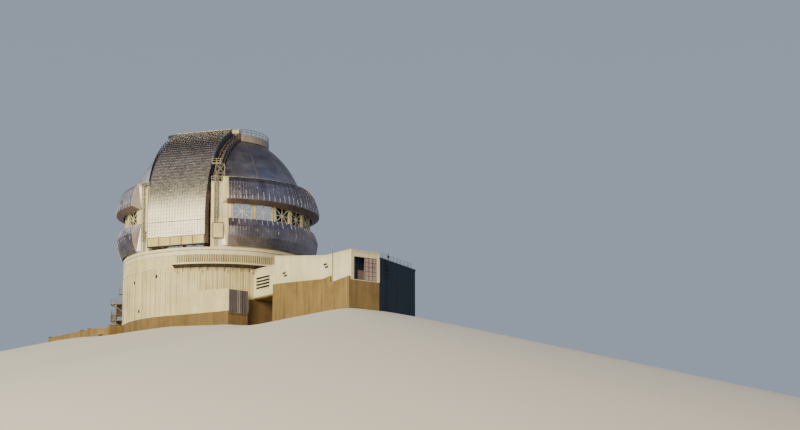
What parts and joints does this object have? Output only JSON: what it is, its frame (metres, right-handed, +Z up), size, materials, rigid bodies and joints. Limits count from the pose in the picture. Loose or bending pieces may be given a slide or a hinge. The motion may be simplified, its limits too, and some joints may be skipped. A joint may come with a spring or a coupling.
{
  "type": "observatory dome, 1:10 scale model",
  "caption": "Round telescope enclosure with a rotating metal dome, up-and-over shutter and sliding vent gates on a drum, with a long support wing, as a 1:10 scale model.",
  "frame": {"origin": "on the dome's turning axis, at the underside of the drum's floor and foot, which is ground level", "axes": "+Z up, +X to the right and +Y away, as seen from the front"},
  "size_m": [7.138, 6.2798, 4.0516],
  "materials": {
    "aluminium_panels": "silver panels with a faint violet cast",
    "blue_cladding": "blue-black painted sheet",
    "concrete": "tan fair-faced concrete",
    "cream_panels": "cream painted sheet",
    "dark_steel": "brown painted steel",
    "door_sheet": "grey painted sheet",
    "white_cladding": "off-white painted sheet"
  },
  "bodies": {
    "building": {"annex_roof": "blue_cladding", "annex_walls": "blue_cladding", "awning": "white_cladding", "dome_rail": "dark_steel", "drum_band": "white_cladding", "drum_floor": "concrete", "drum_plinth": "concrete", "drum_plinth_step": "concrete", "drum_wall_1": "white_cladding", "drum_wall_2": "white_cladding", "drum_wall_3": "white_cladding", "drum_wall_4": "white_cladding", "front_block_plinth": "concrete", "front_block_roof": "white_cladding", "front_block_walls": "white_cladding", "link_roof": "white_cladding", "louvre_panel": "dark_steel", "mast": "dark_steel", "roller_door": "door_sheet", "stair_lower": "dark_steel", "stair_top_ladder": "dark_steel", "stair_upper": "dark_steel", "wing_base": "concrete", "wing_door_leaf": "door_sheet", "wing_end_frame": "white_cladding", "wing_floor": "concrete", "wing_front_wall": "white_cladding", "wing_gable": "white_cladding", "wing_rear_wall": "white_cladding", "wing_roof": "white_cladding", "yard_wall": "concrete"},
    "dome": {"arch_girder_left": "dark_steel", "arch_girder_right": "dark_steel", "crown_platform_left": "white_cladding", "crown_platform_right": "white_cladding", "front_pier_left": "white_cladding", "front_pier_right": "white_cladding", "pier_cabinet": "white_cladding", "rear_shell": "aluminium_panels", "rear_wall": "white_cladding", "ring_beam": "white_cladding", "shell_left_front": "aluminium_panels", "shell_left_rear": "aluminium_panels", "shell_right_front": "aluminium_panels", "shell_right_rear": "aluminium_panels", "vent_frame_left_front": "white_cladding", "vent_frame_left_rear": "white_cladding", "vent_frame_right_front": "white_cladding", "vent_frame_right_rear": "white_cladding"},
    "shutter": {"shutter_bottom_strip": "cream_panels", "shutter_curved_panel": "aluminium_panels", "shutter_flange_left": "aluminium_panels", "shutter_flange_right": "aluminium_panels", "shutter_lower_panel": "aluminium_panels"},
    "upper_gate_right": {"upper_gate_right": "aluminium_panels"},
    "upper_gate_left": {"upper_gate_left": "aluminium_panels"},
    "lower_gate_right": {"lower_gate_right": "aluminium_panels"},
    "lower_gate_left": {"lower_gate_left": "aluminium_panels"}
  },
  "joints": [
    {"name": "dome_rotation", "type": "hinge", "parent": "building", "child": "dome", "pos_m": [0, 0, 1.5], "axis": [0, 0, 1], "continuous": true},
    {"name": "shutter_lift", "type": "hinge", "parent": "dome", "child": "shutter", "pos_m": [0, 0, 2.415], "axis": [-0.9026, 0.4305, 0], "range_deg": [0, 105]},
    {"name": "upper_gate_right_slide", "type": "slide", "parent": "dome", "child": "upper_gate_right", "axis": [0, 0, 1], "range_m": [0, 0.3]},
    {"name": "upper_gate_left_slide", "type": "slide", "parent": "dome", "child": "upper_gate_left", "axis": [0, 0, 1], "range_m": [0, 0.3]},
    {"name": "lower_gate_right_slide", "type": "slide", "parent": "dome", "child": "lower_gate_right", "axis": [0, 0, 1], "range_m": [0, 0.27]},
    {"name": "lower_gate_left_slide", "type": "slide", "parent": "dome", "child": "lower_gate_left", "axis": [0, 0, 1], "range_m": [0, 0.27]}
  ]
}
